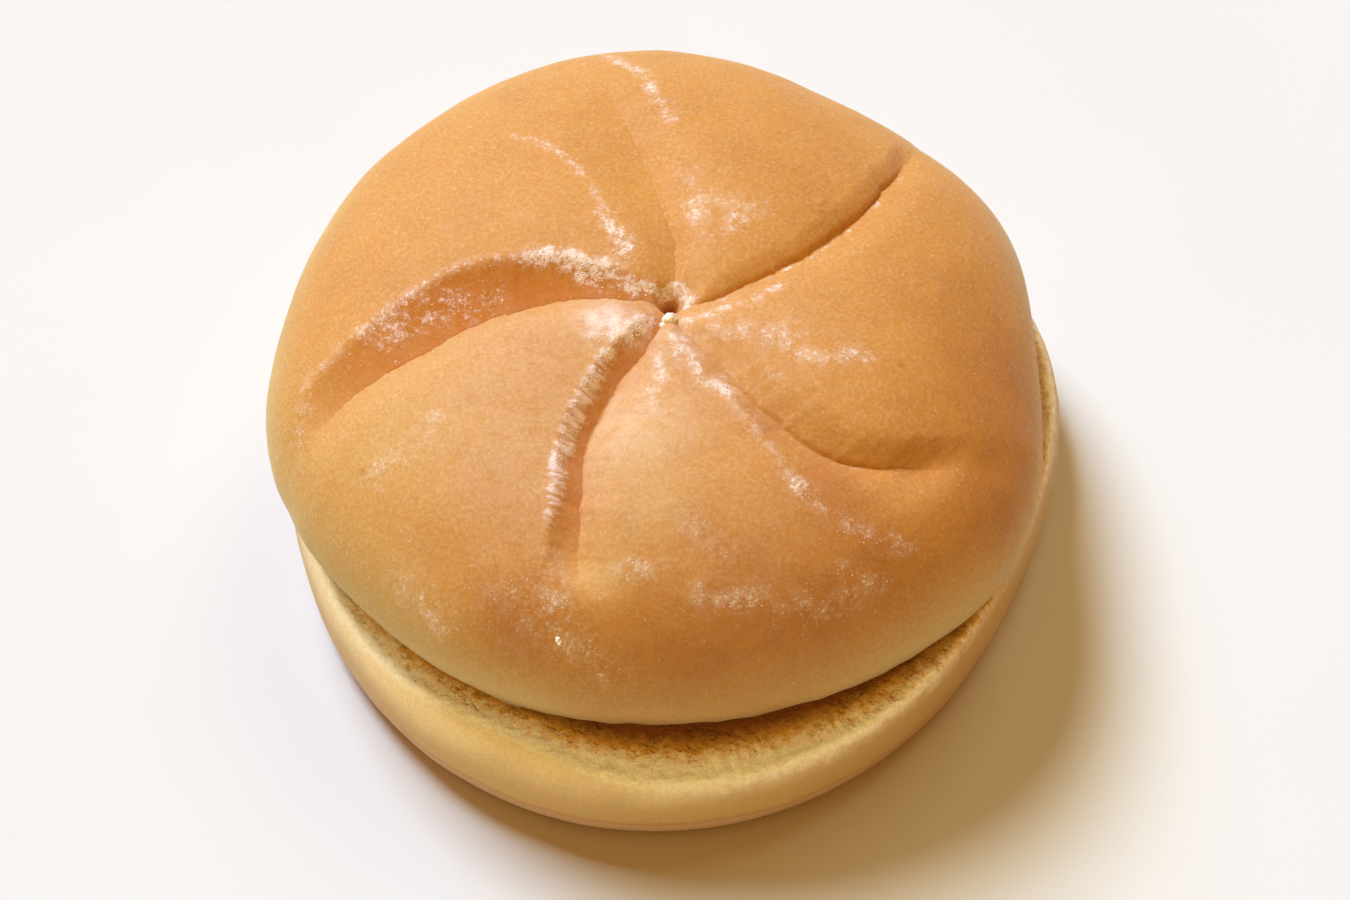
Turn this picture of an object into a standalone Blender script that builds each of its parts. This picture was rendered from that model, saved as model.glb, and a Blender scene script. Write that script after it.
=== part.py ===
"""Kaiser roll, cut through level: a domed crown with a five-armed star pressed into it, lying
a little askew on its round flat heel.

Sizes are in millimetres until a mesh is written. +Z is up, -Y is the side that the crown has
slid away from, and the origin is the middle of the heel's flat base. Bearings are in degrees
from +X, counter-clockwise seen from above.
"""

import math
from collections import namedtuple

import bmesh
import bpy
import numpy as np

MM = 0.001

# Heel: the flat lower half
HEEL_RADIUS = 55.5
HEEL_HEIGHT = 13.8
HEEL_WIDEST = 5.5
BASE_INSET = 3.2
BASE_SQUARENESS = 0.7
# The cut edge stands in a little from the widest part, and further where the side leans in.
LIP_INSET = 1.2
LIP_LEAN = 3.2
LEAN_BEARING = 243
LEAN_SPREAD = 18
LIP_POWER = 2.2
# The crumb starts just below the cut edge and rises a little towards the middle.
CRUMB_DROP = 0.3
CRUMB_EDGE = 1.5
CRUMB_RISE = 1.5
HEEL_WAVES = ((2, 1.7, 31), (3, 1.5, 28), (4, 0.4, 17), (5, 0.6, 22), (6, 0.2, 31))

# Crown: the domed upper half, whose own origin is the middle of its cut face
CROWN_RADIUS = 56.1
CROWN_HEIGHT = 29.3
WIDEST_LEVEL = 6.0
CUT_TUCK = 2.0
DOME_POWER = 2.667
CROWN_WAVES = (
    (2, 0.5, 131),
    (3, 0.8, 92),
    (4, 0.4, 29),
    (5, 0.6, 34),
    (6, 0.5, 26),
    (7, 0.2, 33),
    (8, 0.2, 19),
)
CROWN_SHIFT = (-2.0, 6.8)
CROWN_TILT = 1.5
CUT_LEVEL = 14.1

# Star: five arms that meet beside the crown's middle
STAR_CENTRE = (1.1, -2.3)
STAR_PIT_DEPTH = 3.6
STAR_PIT_RADIUS = 3.4
LOBE_PUFF = 1.6
# On the way out from the centre each arm gives its bearing, depth and wall width at six even
# steps, the first at the centre and the last at the dome's edge. Then come the share of a
# hollow wall with a crest, where the rest is a plain slope, the width and softness of the
# rounded lobe edge on the other side, and the share of the way out where its crease fades.
Arm = namedtuple("Arm", "bearings depths walls crest edge soft sharp_to")
ARMS = (
    Arm(
        bearings=(-26, 10, 22, 30.6, 38, 44),
        depths=(0.8, 1.0, 1.4, 1.7, 1.4, 0.4),
        walls=(4, 5, 6.5, 7.5, 7, 5),
        crest=0.0,
        edge=3.4,
        soft=0.4,
        sharp_to=0.8,
    ),
    Arm(
        bearings=(64, 86.6, 96, 100, 106, 112),
        depths=(1.4, 1.3, 1.2, 0.8, 0.2, 0),
        walls=(6, 6.5, 7, 7, 5, 3),
        crest=0.0,
        edge=11.0,
        soft=0.8,
        sharp_to=0.6,
    ),
    Arm(
        bearings=(177.6, 177.6, 183.3, 191.4, 196.2, 203),
        depths=(1.6, 2.8, 3.7, 3.6, 2.4, 0.9),
        walls=(2.2, 4.8, 7.6, 8.9, 6.5, 4),
        crest=0.85,
        edge=7.5,
        soft=0.15,
        sharp_to=0.84,
    ),
    Arm(
        bearings=(271, 248.7, 245.3, 251, 256.5, 266.5),
        depths=(1.5, 2.2, 2.9, 2.7, 1.7, 0.8),
        walls=(3, 3.3, 3.3, 3.7, 4.4, 5),
        crest=0.8,
        edge=7.0,
        soft=0.2,
        sharp_to=0.74,
    ),
    Arm(
        bearings=(280.7, 299.7, 306, 312.7, 327.5, 338.5),
        depths=(0.6, 0.9, 1.5, 2.1, 1.5, 0.5),
        walls=(2, 2.6, 3, 7, 14, 20),
        crest=0.35,
        edge=6.0,
        soft=0.5,
        sharp_to=0.74,
    ),
)
FADE_LENGTH = 0.1
FADED_DEPTH = 0.2
STEEPEST_GROOVE = 0.7
WALL_SHARE = 0.5
EDGE_SHARE = 0.4
NARROWEST_WALL = 0.5
WALL_HOLLOW = 1.7
WALL_SLOPE = 1.8
BLEND_POWER = 4
NEAREST_RADIUS = 0.001

# Meshes
LOBE_COLUMNS = 20
COLUMN_BUNCHING = 0.45
DOME_RINGS = 30
DOME_RING_SPREAD = 1.25
SIDE_RINGS = 5
BASE_RINGS = 5
FACE_RINGS = 5
HEEL_COLUMNS = 84

CROWN_COLOUR = (0.76, 0.39, 0.13, 1.0)
HEEL_COLOUR = (0.77, 0.56, 0.24, 1.0)
CRUST_ROUGHNESS = 0.55


def clear_scene():
    for obj in list(bpy.data.objects):
        bpy.data.objects.remove(obj, do_unlink=True)


def crust_material(name, colour):
    material = bpy.data.materials.new(name)
    material.use_nodes = True
    shader = material.node_tree.nodes["Principled BSDF"]
    shader.inputs["Base Color"].default_value = colour
    shader.inputs["Roughness"].default_value = CRUST_ROUGHNESS
    shader.inputs["Metallic"].default_value = 0.0
    return material


def between(values, reach):
    """The smooth curve through values that stand at even steps of the reach."""
    spans = len(values) - 1
    place = np.clip(reach, 0, 1) * spans
    first = np.minimum(np.floor(place), spans - 1).astype(int)
    t = place - first
    padded = np.array([2 * values[0] - values[1], *values, 2 * values[-1] - values[-2]])
    a, b, c, d = (padded[first + step] for step in range(4))
    return b + 0.5 * t * (c - a + t * (2 * a - 5 * b + 4 * c - d + t * (3 * b - a - 3 * c + d)))


def ease(low, high, value):
    share = np.clip((value - low) / (high - low), 0, 1)
    return share * share * (3 - 2 * share)


def outline(radius, waves, turn):
    """The uneven round outline's radius at each turn, from waves of (count, height, first peak)."""
    swell = sum(height * np.cos(count * turn - math.radians(count * peak)) for count, height, peak in waves)
    return radius + swell


def lobe_edge(distance, width, softness):
    """How far down, 0 to 1, a lobe's rounded edge is at this distance from the crease."""
    share = np.clip(distance / width, 0, 1)
    steep = 1 - np.sqrt(np.clip(1 - (1 - share) ** 2, 0, 1))
    gentle = 0.5 + 0.5 * np.cos(np.pi * share)
    return steep + (gentle - steep) * softness


def groove_wall(distance, width, crest):
    """How far down, 0 to 1, the wall on the other side of the crease is: a hollow under a
    crest, or a plain slope."""
    share = np.clip(distance / width, 0, 1)
    return crest * (1 - share**WALL_HOLLOW) + (1 - crest) * (1 - share) ** WALL_SLOPE


def arm_depth(arm, reach, radius):
    """An arm's depth, which fades past the crease's sharp part and is held back near the
    centre, where the lobes are narrow."""
    fade = 1 - (1 - FADED_DEPTH) * ease(arm.sharp_to, arm.sharp_to + FADE_LENGTH, reach)
    return np.minimum(np.clip(between(arm.depths, reach), 0, None) * fade, STEEPEST_GROOVE * radius)


def lobe_relief(arm, next_arm, reach, share, radius, span):
    """The height over the plain dome of the lobe between two arms, at this share across it."""
    here = arm_depth(arm, reach, radius)
    there = arm_depth(next_arm, reach, radius)
    arc = radius * span
    fade = ease(arm.sharp_to - FADE_LENGTH, arm.sharp_to + FADE_LENGTH, reach)
    softness = arm.soft + (1 - arm.soft) * fade
    edge = here * lobe_edge(share * arc, np.minimum(arm.edge, EDGE_SHARE * arc), softness)
    wall_width = np.clip(between(next_arm.walls, reach), NARROWEST_WALL, None)
    wall_width = np.minimum(wall_width, WALL_SHARE * arc)
    wall = there * groove_wall((1 - share) * arc, wall_width, next_arm.crest)
    pit = STAR_PIT_DEPTH * np.exp(-((radius / STAR_PIT_RADIUS) ** 2))
    hollow = (edge**BLEND_POWER + wall**BLEND_POWER + pit**BLEND_POWER) ** (1 / BLEND_POWER)
    puff = LOBE_PUFF * np.sin(np.pi * share) * np.sin(np.pi * reach)
    return puff - hollow


def dome_lobe(index, reach, columns):
    """One lobe of the dome: its turns, and its relief, on a grid of reach by columns."""
    arm = ARMS[index]
    next_arm = ARMS[(index + 1) % len(ARMS)]
    first = np.radians(between(arm.bearings, reach))
    last = np.radians(between(next_arm.bearings, reach)) + 2 * math.pi * (index + 1 == len(ARMS))
    even = np.arange(columns)[None, :] / columns
    share = even - COLUMN_BUNCHING * np.sin(2 * math.pi * even) / (2 * math.pi)
    span = last - first
    turn = first + span * share
    radius = np.maximum(reach * CROWN_RADIUS, NEAREST_RADIUS)
    return turn, lobe_relief(arm, next_arm, reach, share, radius, span)


def dome_points(rings, columns):
    """Points of the dome, from the star's centre out to the widest level, and their turns."""
    rise = (math.pi / 2) * (np.arange(rings + 1)[:, None] / rings) ** DOME_RING_SPREAD
    reach = np.sin(rise) ** (2 / DOME_POWER)
    lobes = [dome_lobe(index, reach, columns) for index in range(len(ARMS))]
    turn = np.concatenate([lobe[0] for lobe in lobes], axis=1)
    relief = np.concatenate([lobe[1] for lobe in lobes], axis=1)
    edge = outline(CROWN_RADIUS, CROWN_WAVES, turn)
    height = CROWN_HEIGHT - WIDEST_LEVEL
    # The plain dome is a flattened superellipse, and the relief follows its slope.
    out_part = height * np.sin(rise) ** (2 - 2 / DOME_POWER)
    up_part = CROWN_RADIUS * (2 / DOME_POWER) * np.cos(rise)
    length = np.hypot(out_part, up_part)
    out_part, up_part = out_part / length, up_part / length
    x = STAR_CENTRE[0] + reach * (edge * np.cos(turn) - STAR_CENTRE[0]) + relief * out_part * np.cos(turn)
    y = STAR_CENTRE[1] + reach * (edge * np.sin(turn) - STAR_CENTRE[1]) + relief * out_part * np.sin(turn)
    z = WIDEST_LEVEL + height * np.cos(rise) + relief * up_part
    return np.stack([x, y, z], axis=-1), turn[-1], relief[-1]


def crown_points():
    """The crown's points, ring by ring from the star down the side and in over the cut face."""
    dome, turn, relief = dome_points(DOME_RINGS, LOBE_COLUMNS)
    rings = list(dome)
    edge = outline(CROWN_RADIUS, CROWN_WAVES, turn)
    for step in range(1, SIDE_RINGS + 1):
        share = step / SIDE_RINGS
        radius = edge + relief * (1 - share) - CUT_TUCK * share * share
        rings.append(round_ring(radius, turn, WIDEST_LEVEL * (1 - share)))
    for step in range(1, FACE_RINGS + 1):
        rings.append(round_ring((edge - CUT_TUCK) * (1 - step / FACE_RINGS), turn, 0.0))
    return np.stack(rings)


def round_ring(radius, turn, level):
    return np.stack([radius * np.cos(turn), radius * np.sin(turn), level + 0 * turn], axis=-1)


def lip_inset(turn):
    """How far the heel's cut edge stands in from its widest part."""
    apart = (np.degrees(turn) - LEAN_BEARING + 180) % 360 - 180
    return LIP_INSET + LIP_LEAN * np.exp(-((apart / LEAN_SPREAD) ** 2))


def heel_points():
    """The heel's points, ring by ring from the middle of its cut face round to its base."""
    turn = 2 * math.pi * np.arange(HEEL_COLUMNS) / HEEL_COLUMNS
    edge = outline(HEEL_RADIUS, HEEL_WAVES, turn)
    lip = edge - lip_inset(turn)
    shares = np.arange(FACE_RINGS + 1) / FACE_RINGS
    rings = []
    for share in shares:
        level = HEEL_HEIGHT - CRUMB_DROP + CRUMB_RISE * (1 - share * share)
        rings.append(round_ring((lip - CRUMB_EDGE) * share, turn, level))
    for share in np.arange(SIDE_RINGS + 1)[::-1] / SIDE_RINGS:
        level = HEEL_WIDEST + (HEEL_HEIGHT - HEEL_WIDEST) * share
        rings.append(round_ring(edge - (edge - lip) * share**LIP_POWER, turn, level))
    for share in np.arange(1, BASE_RINGS + 1) / BASE_RINGS:
        lean = share * math.pi / 2
        inset = BASE_INSET * (1 - max(math.cos(lean), 0) ** BASE_SQUARENESS)
        rings.append(round_ring(edge - inset, turn, HEEL_WIDEST * (1 - math.sin(lean))))
    rings += [round_ring((edge - BASE_INSET) * share, turn, 0.0) for share in shares[-2::-1]]
    return np.stack(rings)


def shaped_sphere(name, points, material, collection):
    """A sphere with as many rings and columns as the points have, each of its vertices moved
    to its point. The first and last rings are the sphere's poles."""
    rings, columns = len(points) - 1, len(points[0])
    form = bmesh.new()
    bmesh.ops.create_uvsphere(form, u_segments=columns, v_segments=rings, radius=1.0)
    for vertex in form.verts:
        x, y, z = vertex.co
        ring = round(math.acos(max(-1.0, min(1.0, z))) / math.pi * rings)
        column = round(math.atan2(y, x) / (2 * math.pi) * columns) % columns
        vertex.co = points[ring, column] * MM
    bmesh.ops.recalc_face_normals(form, faces=form.faces)
    mesh = bpy.data.meshes.new(name)
    form.to_mesh(mesh)
    form.free()
    mesh.polygons.foreach_set("use_smooth", [True] * len(mesh.polygons))
    mesh.materials.append(material)
    solid = bpy.data.objects.new(name, mesh)
    collection.objects.link(solid)
    return solid


def make_heel(collection):
    return shaped_sphere("heel", heel_points(), crust_material("pale_crust", HEEL_COLOUR), collection)


def make_crown(collection):
    """The crown, tilted so that its back edge stays down on the heel and its front lifts."""
    crown = shaped_sphere("crown", crown_points(), crust_material("golden_crust", CROWN_COLOUR), collection)
    tilt = math.radians(CROWN_TILT)
    back = CROWN_RADIUS * (1 - math.cos(tilt))
    lift = CROWN_RADIUS * math.sin(tilt)
    crown.location = (CROWN_SHIFT[0] * MM, (CROWN_SHIFT[1] + back) * MM, (CUT_LEVEL + lift) * MM)
    crown.rotation_euler = (-tilt, 0.0, 0.0)
    return crown


def main():
    clear_scene()
    collection = bpy.data.collections.new("kaiser_roll")
    bpy.context.scene.collection.children.link(collection)
    make_heel(collection)
    make_crown(collection)


main()
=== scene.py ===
"""Looks of a kaiser roll that lies cut through level: a domed crown with a five-armed star
pressed into it, a little askew on its flat heel, and the flour left on the crust.

Sizes are in millimetres until a mesh is written, apart from the ones that a user can change,
which are in metres. +Z is up and the camera looks from the -Y side. Bearings are in degrees
from +X, counter-clockwise seen from above.
"""

import math
from collections import namedtuple

import bpy
import numpy as np
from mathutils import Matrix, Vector


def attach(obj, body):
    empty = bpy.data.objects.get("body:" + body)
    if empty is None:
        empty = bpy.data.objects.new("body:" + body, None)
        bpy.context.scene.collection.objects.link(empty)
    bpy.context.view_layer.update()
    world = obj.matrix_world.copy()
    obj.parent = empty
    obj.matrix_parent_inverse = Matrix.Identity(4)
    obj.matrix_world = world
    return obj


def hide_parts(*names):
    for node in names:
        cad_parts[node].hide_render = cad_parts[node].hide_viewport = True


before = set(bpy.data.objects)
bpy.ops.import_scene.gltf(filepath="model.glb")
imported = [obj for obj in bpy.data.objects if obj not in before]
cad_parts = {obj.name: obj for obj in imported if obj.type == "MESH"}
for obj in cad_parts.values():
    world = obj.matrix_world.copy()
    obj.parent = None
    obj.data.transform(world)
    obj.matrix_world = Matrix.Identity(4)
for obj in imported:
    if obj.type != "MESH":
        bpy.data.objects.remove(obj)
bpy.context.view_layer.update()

bl_info = {
    "name": "Kaiser roll",
    "version": (1, 0, 0),
    "blender": (4, 5, 0),
    "location": "3D View > Sidebar > Roll",
    "description": "Builds a kaiser roll cut through level, with crust, crumb and flour",
    "category": "Add Mesh",
}

MM = 0.001
SEED = 7

# Heel: the flat lower half
HEEL_RADIUS = 55.5
HEEL_HEIGHT = 13.8
HEEL_WIDEST = 5.5
BASE_INSET = 3.2
BASE_SQUARENESS = 0.7
LIP_INSET = 1.2
LIP_LEAN = 3.2
LEAN_BEARING = 243
LEAN_SPREAD = 18
LIP_ROUND = 1.0
LIP_TEAR = 0.06
CRUMB_DROP = 0.3
CRUMB_EDGE = 1.5
CRUMB_RISE = 1.5
HEEL_WAVES = ((2, 1.7, 31), (3, 1.5, 28), (4, 0.4, 17), (5, 0.6, 22), (6, 0.2, 31))

# Crown: the domed upper half, whose own origin is the middle of its cut face
CROWN_RADIUS = 56.1
CROWN_HEIGHT = 29.3
WIDEST_LEVEL = 6.0
CUT_TUCK = 2.0
CUT_ROUND = 0.7
CUT_TEAR = 0.14
DOME_POWER = 2.667
CROWN_WAVES = (
    (2, 0.5, 131),
    (3, 0.8, 92),
    (4, 0.4, 29),
    (5, 0.6, 34),
    (6, 0.5, 26),
    (7, 0.2, 33),
    (8, 0.2, 19),
)
CROWN_SHIFT = (-2.0, 6.8)
CROWN_TILT = 1.5
CUT_LEVEL = 14.1

# Star: five arms that meet beside the crown's middle
STAR_CENTRE = (1.1, -2.3)
STAR_PIT_DEPTH = 2.2
STAR_PIT_RADIUS = 4.2
HOLE_DEPTH = 4.2
HOLE_RADIUS = 1.5
HOLE_SHIFT = (0.5, 0.5)
LOBE_PUFF = 1.6
# Each arm gives its bearings, depths and wall widths at six even steps on the way out, the
# first at the centre and the last at the dome's edge. Then come how far its wall is a hollow
# under a crest and not a plain slope, the width and softness of the rounded lobe edge on the
# other side, the share of the way out where the crease starts to fade, and how torn and dark
# its line is.
Arm = namedtuple("Arm", "bearings depths walls crest edge soft sharp_to line")
ARMS = (
    Arm(
        (-26, 10, 22, 30.6, 38, 44),
        (0.8, 1.0, 1.4, 1.7, 1.4, 0.4),
        (4, 5, 6.5, 7.5, 7, 5),
        crest=0.0, edge=3.4, soft=0.4, sharp_to=0.8, line=1.0,
    ),
    Arm(
        (64, 86.6, 96, 100, 106, 112),
        (1.4, 1.3, 1.2, 0.8, 0.2, 0),
        (6, 6.5, 7, 7, 5, 3),
        crest=0.0, edge=11.0, soft=0.8, sharp_to=0.6, line=0.1,
    ),
    Arm(
        (177.6, 177.6, 183.3, 191.4, 196.2, 203),
        (1.6, 2.8, 3.7, 3.6, 2.4, 0.9),
        (2.2, 4.8, 7.6, 8.9, 6.5, 4),
        crest=0.85, edge=7.5, soft=0.15, sharp_to=0.84, line=0.8,
    ),
    Arm(
        (271, 248.7, 245.3, 251, 256.5, 266.5),
        (1.5, 2.2, 2.9, 2.7, 1.7, 0.8),
        (3, 3.3, 3.3, 3.7, 4.4, 5),
        crest=0.8, edge=7.0, soft=0.2, sharp_to=0.74, line=0.35,
    ),
    Arm(
        (280.7, 299.7, 306, 312.7, 327.5, 338.5),
        (0.6, 0.9, 1.5, 2.1, 1.5, 0.5),
        (2, 2.6, 3, 7, 14, 20),
        crest=0.35, edge=6.0, soft=0.5, sharp_to=0.74, line=0.4,
    ),
)
FADE_LENGTH = 0.1
FADED_DEPTH = 0.2
STEEPEST_GROOVE = 0.7
WALL_SHARE = 0.5
EDGE_SHARE = 0.4
NARROWEST_WALL = 0.5
WALL_HOLLOW = 1.7
WALL_SLOPE = 1.8
CREST_ROUND = 0.22
BLEND_POWER = 4
NEAREST_RADIUS = 0.001
WELD = 0.0001
# How a pressed crease wanders: height, shortest and longest ripple, and seed
CREASE_WANDERS = ((0.13, 4, 17, SEED), (0.08, 1, 3, SEED + 10))
# The slit in a crease, its dark line on the lobe's side and on the wall's, the depth that shows
# it in full, how torn it is, the crumbs beside it, the overhang, and a hollow wall's ridge
SLIT_WIDTH = 0.35
LINE_WIDTH = 0.3
WALL_LINE_WIDTH = 0.6
LINE_DEPTH = 2
TORN_SHARE = 0.6
TORN_SWING = 0.45
CRUMBS_ASIDE = 0.8
CRUMBS_WIDTH = 0.5
CRUMBS_FLOUR = 0.6
OVERHANG_ASIDE = 1.0
OVERHANG_WIDTH = 0.7
RIDGE_WIDTH = 0.9
RIDGE_HEIGHT = 0.15

# Meshes, fine enough for the creases and the crumb
LOBE_COLUMNS = 96
COLUMN_BUNCHING = 0.6
DOME_RINGS = 160
DOME_RING_SPREAD = 1.45
SIDE_RINGS = 18
ROUND_RINGS = 5
LIP_RINGS = 9
FACE_RINGS = 8
HEEL_COLUMNS = 900
CRUMB_RINGS = 44
CRUMB_BAND = 18.0
INNER_RINGS = 6
RIPPLE_WAVES = 6
RIPPLE_TALLEST = 2.5
GROUP_STEPS = 16

# Flour that lies in streaks: a width in millimetres, a strength, and the points that it passes,
# each a bearing and a percentage of the way out from the star
Streak = namedtuple("Streak", "width strength points")
# One streak lies in ribs across the ridge, with their spacing, length and slant.
RIBBED_STREAK = Streak(
    width=1.25,
    strength=1.0,
    points=(
        (233, 24), (235, 28), (237, 33), (238, 38), (240, 43), (241, 47),
        (242, 52), (244, 57), (246, 63), (247, 67), (247, 73), (249, 76),
    ),
)
RIB_SPACING = 0.8
RIB_LENGTH = 2.4
RIB_SLANT = 0.05
STREAKS = (
    Streak(0.9, 0.38, ((126, 63), (122, 55), (119, 45), (120, 32), (120, 21), (130, 13))),
    Streak(1.5, 0.6, ((127, 27), (124, 17), (137, 15))),
    Streak(1.6, 1.0, ((161, 34), (158, 30), (157, 26), (158, 21), (154, 18))),
    Streak(1.8, 0.5, ((158, 21), (157, 13), (154, 7))),
    Streak(0.9, 0.4, ((162, 34), (165, 42), (169, 50), (174, 58), (178, 63), (185, 74))),
    Streak(1.4, 0.3, ((185, 74), (188, 80), (190, 87), (194, 90), (197, 92), (201, 94))),
    Streak(2.8, 0.47, ((178, 44), (180, 52), (182, 60), (186, 68))),
    Streak(1.0, 0.7, ((158, 12), (154, 7), (131, 4), (69, 5), (35, 5), (5, 6), (337, 5))),
    Streak(1.8, 0.55, ((208, 19), (212, 17), (222, 13), (237, 7))),
    Streak(1.5, 0.7, ((219, 22), (227, 18), (237, 12))),
    Streak(1.2, 0.75, ((237, 12), (233, 18), (233, 24), (236, 30))),
    Streak(2.8, 0.28, ((250, 77), (253, 85), (255, 92), (259, 93), (263, 97))),
    Streak(4.5, 0.2, ((244, 86), (251, 85), (249, 94))),
    Streak(1.7, 0.58, ((278, 14), (282, 18), (271, 19), (268, 24), (266, 30), (264, 35))),
    Streak(1.4, 0.6, ((282, 18), (289, 23), (290, 28), (297, 32))),
    Streak(1.2, 0.4, ((297, 32), (298, 41), (299, 48), (300, 57), (301, 64))),
    Streak(1.5, 0.4, ((301, 64), (303, 69), (305, 76), (308, 80), (312, 87))),
    Streak(1.0, 0.5, ((304, 9), (335, 13), (348, 19), (354, 23), (363, 29))),
    Streak(2.3, 0.42, ((314, 16), (324, 19), (330, 26), (336, 32))),
    Streak(1.6, 0.42, ((329, 35), (331, 39), (332, 44), (336, 46), (339, 52))),
    Streak(1.5, 0.35, ((303, 29), (313, 32), (317, 35))),
    Streak(1.9, 0.36, ((75, 26), (63, 22), (55, 21), (48, 29))),
    Streak(2.4, 0.29, ((81, 36), (76, 29), (57, 31), (47, 35))),
    Streak(1.3, 0.5, ((101, 97), (98, 82), (94, 75), (91, 62), (88, 55))),
    Streak(1.5, 0.38, ((215, 84), (213, 81), (215, 76), (214, 67), (213, 64))),
    Streak(3.0, 0.35, ((230, 95), (233, 95), (237, 97))),
    Streak(1.8, 0.42, ((263, 77), (266, 75), (269, 76))),
    Streak(1.6, 0.4, ((276, 80), (277, 83), (283, 84))),
    Streak(2.6, 0.3, ((285, 84), (291, 86), (296, 90), (300, 90))),
    Streak(2.0, 0.28, ((276, 66), (279, 70), (282, 74))),
    Streak(1.5, 0.4, ((300, 83), (303, 87), (305, 90))),
)
OVERALL_DUST = 0.14
# Thin even films of flour: bearing, percentage out, radius and strength
FILMS = (
    (212, 17, 3.6, 0.42),
    (222, 13, 2.6, 0.3),
    (222, 40, 17.0, 0.1),
    (240, 62, 12.0, 0.1),
    (264, 40, 8.0, 0.14),
    (282, 15, 3.0, 0.2),
    (320, 30, 12.0, 0.06),
    (285, 72, 14.0, 0.06),
)
# The heel's side in the crown's shadow, as bearings counted from its front, and how much further
# in its crumb looks there, as painted shade; the other side, where that painted shade is narrower;
# and where both end at the back
SHADED_FROM = 5.0
SHADED_TO = 60.0
SHADED_CRUMB_SHIFT = 1.6
NARROW_FROM = 8.0
NARROW_TO = 45.0
NARROWER_SHADE = 0.48
BACK_FROM = 120.0
BACK_TO = 175.0

# Darker baked spots, with one simply darker on a facet beside the last arm, and small brown dots:
# a bearing, a percentage out and a radius in mm
BAKED_SPOTS = ((276, 66, 3.5), (264, 64, 2.6), (275, 48, 2.4), (309, 68, 3.5))
# Broad areas that are browner, with a strength: on the front and the right, partly baked browner
# and partly painted shade on the sides turned from the key light
BROWNER_AND_SHADED = (
    (276, 97, 15.0, 1.0),
    (266, 104, 10.0, 1.0),
    (284, 103, 10.0, 1.0),
    (300, 88, 13.0, 1.0),
    (330, 92, 13.0, 1.0),
    (352, 88, 11.0, 1.0),
    (340, 76, 8.0, 0.5),
    (308, 66, 5.0, 0.8),
    (303, 44, 3.0, 0.6),
    (248, 92, 7.0, 1.0),
    (62, 55, 15.0, 0.35),
    (12, 60, 14.0, 0.3),
)
# Paler areas, with a strength: low on the left, partly crust that stayed paler and partly painted
# light; painted light along two lobes' edges; and a painted sheen along the outline from the left
# round the back to the right
PALE_AND_LIT_AREAS = (
    (214, 92, 12.0, 0.2),
    (230, 97, 7.0, 0.3),
    (211, 74, 11.0, 0.25),
    (264, 44, 6.0, 0.28),
    (268, 62, 5.0, 0.3),
    (259, 78, 4.0, 0.35),
    (185, 100, 7.0, 0.5),
    (155, 101, 9.0, 0.65),
    (120, 101, 9.0, 0.6),
    (80, 101, 9.0, 0.5),
    (45, 101, 8.0, 0.5),
    (12, 103, 8.0, 0.6),
)
BROWN_DOTS = (
    (212, 84, 0.4), (223, 80, 0.35), (33, 47, 0.4),
    (150, 55, 0.3), (60, 60, 0.3), (340, 60, 0.3),
)
# Little blisters of the skin
BLISTERS = ((36, 49, 0.6), (3, 70, 0.8), (284, 93, 0.9))
BLISTER_HEIGHT = 0.25

# Lumps of caked flour, in the star's pit and astray: bearing, percentage out, length
LUMPS = ((281, 6.0, 2.7), (257, 8.5, 1.0), (255, 92, 1.1))
# Their width, thickness and sink as shares of the length, their tip, and their knobs
LUMP_WIDTH = 0.75
LUMP_FLATNESS = 0.62
LUMP_SINK = 0.02
LUMP_TIP = (0.2, 0.1, 0)
KNOB_HEIGHT = 0.7
KNOB_GRAIN_HEIGHT = 0.2
# How far the grains of flour gather where most flour lies
GRAIN_GATHERING = 2.1

# How large the features of the clouds of relief and of the materials' patterns are
CRUST_LUMP = 14.0
CRUST_DIMPLE = 3.5
CRUST_PATCH = 9.0
CRUST_MOTTLE = 2.6
SIDE_LUMP = 9.0
SIDE_PATCH = 8.0
SIDE_MOTTLE = 1.8
CRUMB_SWELL = 6.0
CRUMB_CLOT = 1.1
CRUMB_GRAIN = 0.5
LARGE_PORE = 1.0
SMALL_PORE = 0.55
PORE_RELIEF = 0.9
FLOUR_CLUMP = 2.2
FLOUR_FLECK = 0.62
LUMP_SHADE = 0.8
KNOB = 0.9
KNOB_GRAIN = 0.25
CARD_SHADE = 60.0
# The crust's real grain is near 0.2 mm: drawn coarser, so that it shows.
CRUST_GRAIN = 0.55


def linear(code):
    """A colour's linear values, with full alpha, from its sRGB hex code."""
    shares = [int(code[start : start + 2], 16) / 255 for start in (1, 3, 5)]
    values = (c / 12.92 if c <= 0.04045 else ((c + 0.055) / 1.055) ** 2.4 for c in shares)
    return (*values, 1.0)


def colour_property(name, code, description):
    return bpy.props.FloatVectorProperty(
        name=name,
        description=description,
        default=linear(code),
        subtype="COLOR",
        size=4,
        min=0,
        max=1,
    )


def length_property(name, default, description):
    return bpy.props.FloatProperty(
        name=name,
        description=description,
        default=default,
        min=0,
        max=5 * MM,
        unit="LENGTH",
        precision=5,
    )


class RollSizes(bpy.types.PropertyGroup):
    """Sizes of the fine relief, in metres."""

    crust_lumps: length_property(
        "Crust lumps", 0.0005, "How far the crust swells and sinks between its lumps"
    )
    crust_grain: length_property("Crust grain", 0.00004, "Height of the crust's fine grain")
    overhang: length_property(
        "Lobe overhang", 0.0002, "How far a lobe's edge leans over its crease"
    )
    slit: length_property(
        "Crease slit", 0.00015, "Depth of the thin slit at the bottom of a crease"
    )
    pore_depth: length_property("Pore depth", 0.0006, "Depth of the crumb's pores")
    grain_length: length_property("Flour grain", 0.00036, "Length of a large grain of flour")
    pile: length_property(
        "Flour pile", 0.0001, "How high the grains pile up where most flour lies"
    )
    grain_count: bpy.props.IntProperty(
        name="Flour grains",
        description="How many grains of flour lie on the crown",
        default=5600,
        min=0,
        max=9000,
    )


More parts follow.
